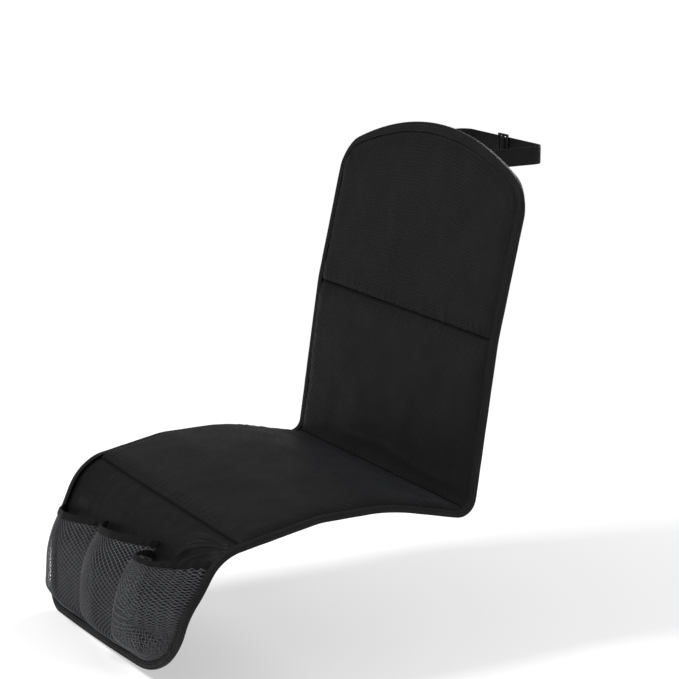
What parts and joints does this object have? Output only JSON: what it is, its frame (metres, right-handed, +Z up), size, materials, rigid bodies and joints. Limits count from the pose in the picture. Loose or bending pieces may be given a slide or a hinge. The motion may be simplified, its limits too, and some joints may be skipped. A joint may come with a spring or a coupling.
{
  "type": "car seat protector",
  "caption": "Padded mat draped over a car seat's cushion and backrest, with a front flap of net pockets, taped edges and a headrest strap behind its top edge.",
  "frame": {"origin": "the middle of the seat panel's flat zone, on the underside of the grip sheet, where the mat lies on the seat cushion", "axes": "+X to the right seen from the front, -Y to the front, where the flap hangs, +Z up"},
  "size_m": [0.47, 0.6708, 0.6777],
  "materials": {
    "padded_canvas": "black plain-woven coated polyester over thin foam, low sheen",
    "flap_cloth": "black plain-woven coated polyester, single layer, matte",
    "grip_backing": "dark grey non-slip sheet, matte",
    "edge_tape": "black ribbed binding tape, stitched along both edges",
    "pocket_net": "black knitted net",
    "elastic": "black folded elastic band",
    "webbing": "black woven webbing",
    "slide_plastic": "black moulded plastic, satin"
  },
  "bodies": {
    "root": {"seat_panel": "padded_canvas", "back_panel_lower": "padded_canvas", "back_panel_upper": "padded_canvas", "seat_grip_backing": "grip_backing", "front_flap": "flap_cloth", "edge_tape_mat": "edge_tape", "edge_tape_flap": "edge_tape", "pocket_net_left": "pocket_net", "pocket_net_middle": "pocket_net", "pocket_net_right": "pocket_net", "pocket_band_left": "elastic", "pocket_band_middle": "elastic", "pocket_band_right": "elastic", "headrest_strap": "webbing", "strap_slide": "slide_plastic"}
  },
  "joints": []
}
